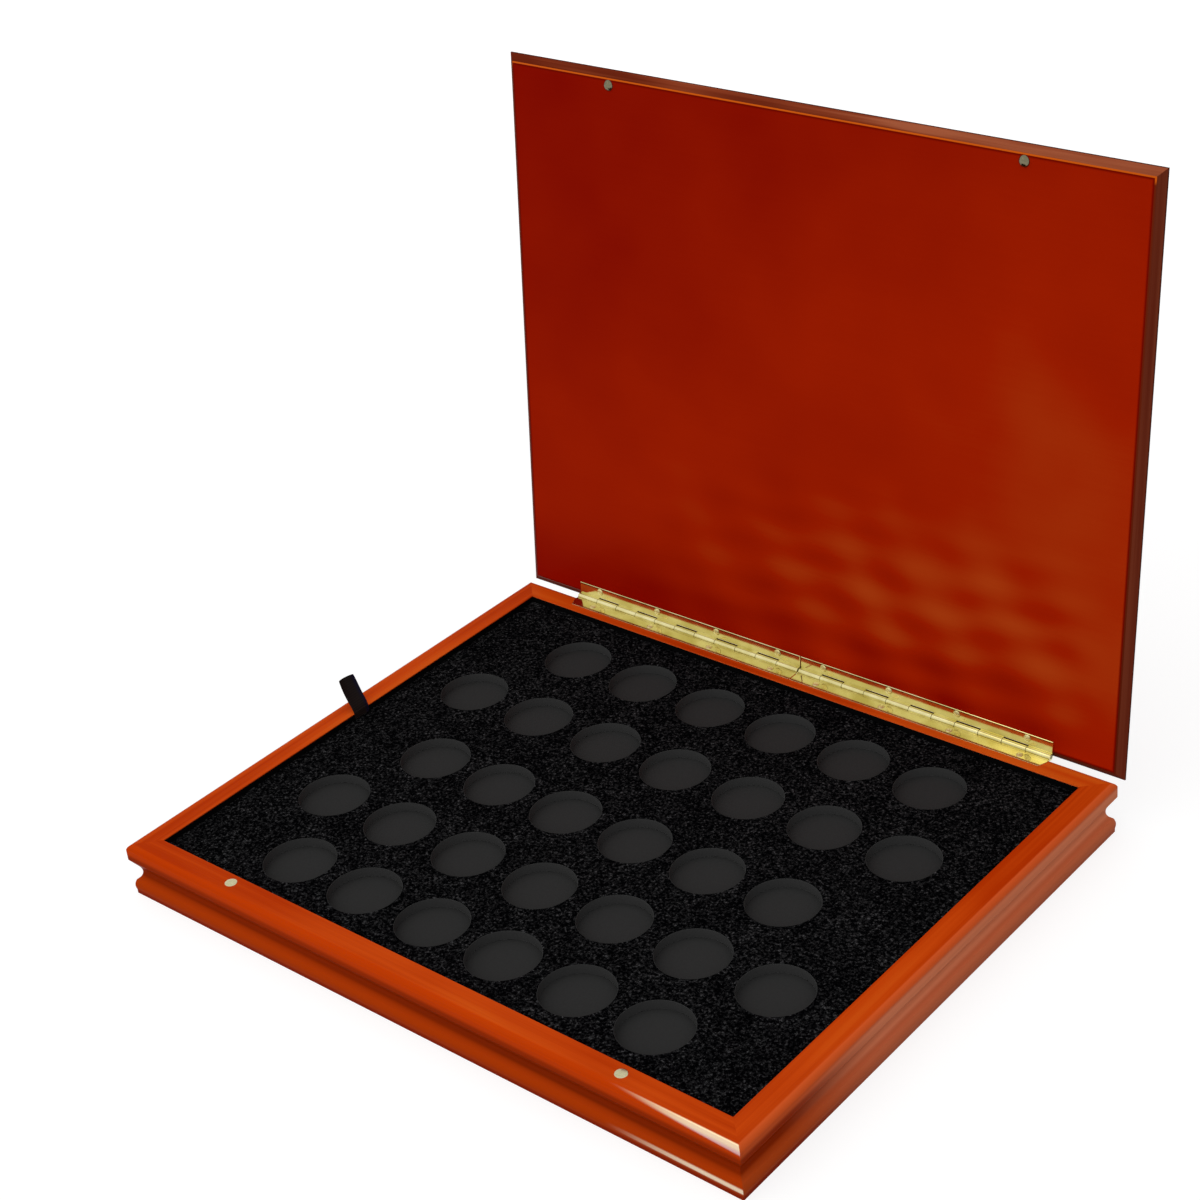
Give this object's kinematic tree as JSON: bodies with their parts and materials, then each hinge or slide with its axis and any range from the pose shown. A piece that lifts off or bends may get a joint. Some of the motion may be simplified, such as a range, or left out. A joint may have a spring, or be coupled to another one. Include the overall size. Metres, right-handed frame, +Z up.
{
  "type": "coin display case",
  "caption": "Shallow lacquered wooden case with an open hinged lid, a moulded mitred base, and a lift-out black tray of round wells with a ribbon tab.",
  "frame": {"origin": "middle of the underside of the base", "axes": "+X to the right along the hinge, +Y to the back where the hinge is, +Z up out of the base"},
  "size_m": [0.3676, 0.3313, 0.3177],
  "materials": {
    "cherry_lacquer": "high gloss lacquer over orange-red stained wood",
    "red_lacquer": "high gloss lacquer over deep red stained veneer",
    "plain_wood": "bare wood, out of sight",
    "black_flock": "matte black flock with a fine sparkle",
    "grey_board": "matte charcoal",
    "black_felt": "matte felt",
    "black_ribbon": "satin ribbon",
    "brass_plate": "bright, lightly brushed",
    "steel_pin": "plain drawn steel",
    "nickel": "polished nickel plate"
  },
  "bodies": {
    "base": {"rail_front": "cherry_lacquer", "rail_rear": "cherry_lacquer", "rail_left": "cherry_lacquer", "rail_right": "cherry_lacquer", "mitre_tongues": "plain_wood", "base_floor": "plain_wood", "underside_felt": "black_felt", "catch_magnets": "nickel", "tray_ledge_front": "plain_wood", "tray_ledge_rear": "plain_wood", "tray_ledge_left": "plain_wood", "tray_ledge_right": "plain_wood", "tray_board": "black_flock", "tray_backing": "grey_board", "ribbon_tab": "black_ribbon", "hinge_left_base_leaf": "brass_plate", "hinge_right_base_leaf": "brass_plate", "hinge_left_pin": "steel_pin", "hinge_right_pin": "steel_pin", "hinge_base_screws": "brass_plate"},
    "lid": {"hinge_left_lid_leaf": "brass_plate", "hinge_right_lid_leaf": "brass_plate", "hinge_lid_screws": "brass_plate", "lid_edge_front": "cherry_lacquer", "lid_edge_rear": "cherry_lacquer", "lid_edge_left": "cherry_lacquer", "lid_edge_right": "cherry_lacquer", "lid_core": "plain_wood", "lid_inner_veneer": "red_lacquer", "lid_outer_veneer": "red_lacquer", "lid_studs": "nickel"}
  },
  "joints": [
    {"name": "lid_hinge", "type": "hinge", "parent": "base", "child": "lid", "pos_m": [0, 0.1459, 0.0289], "axis": [1, 0, 0], "range_deg": [0, 95.5], "deforming": ["ribbon_tab"]}
  ]
}
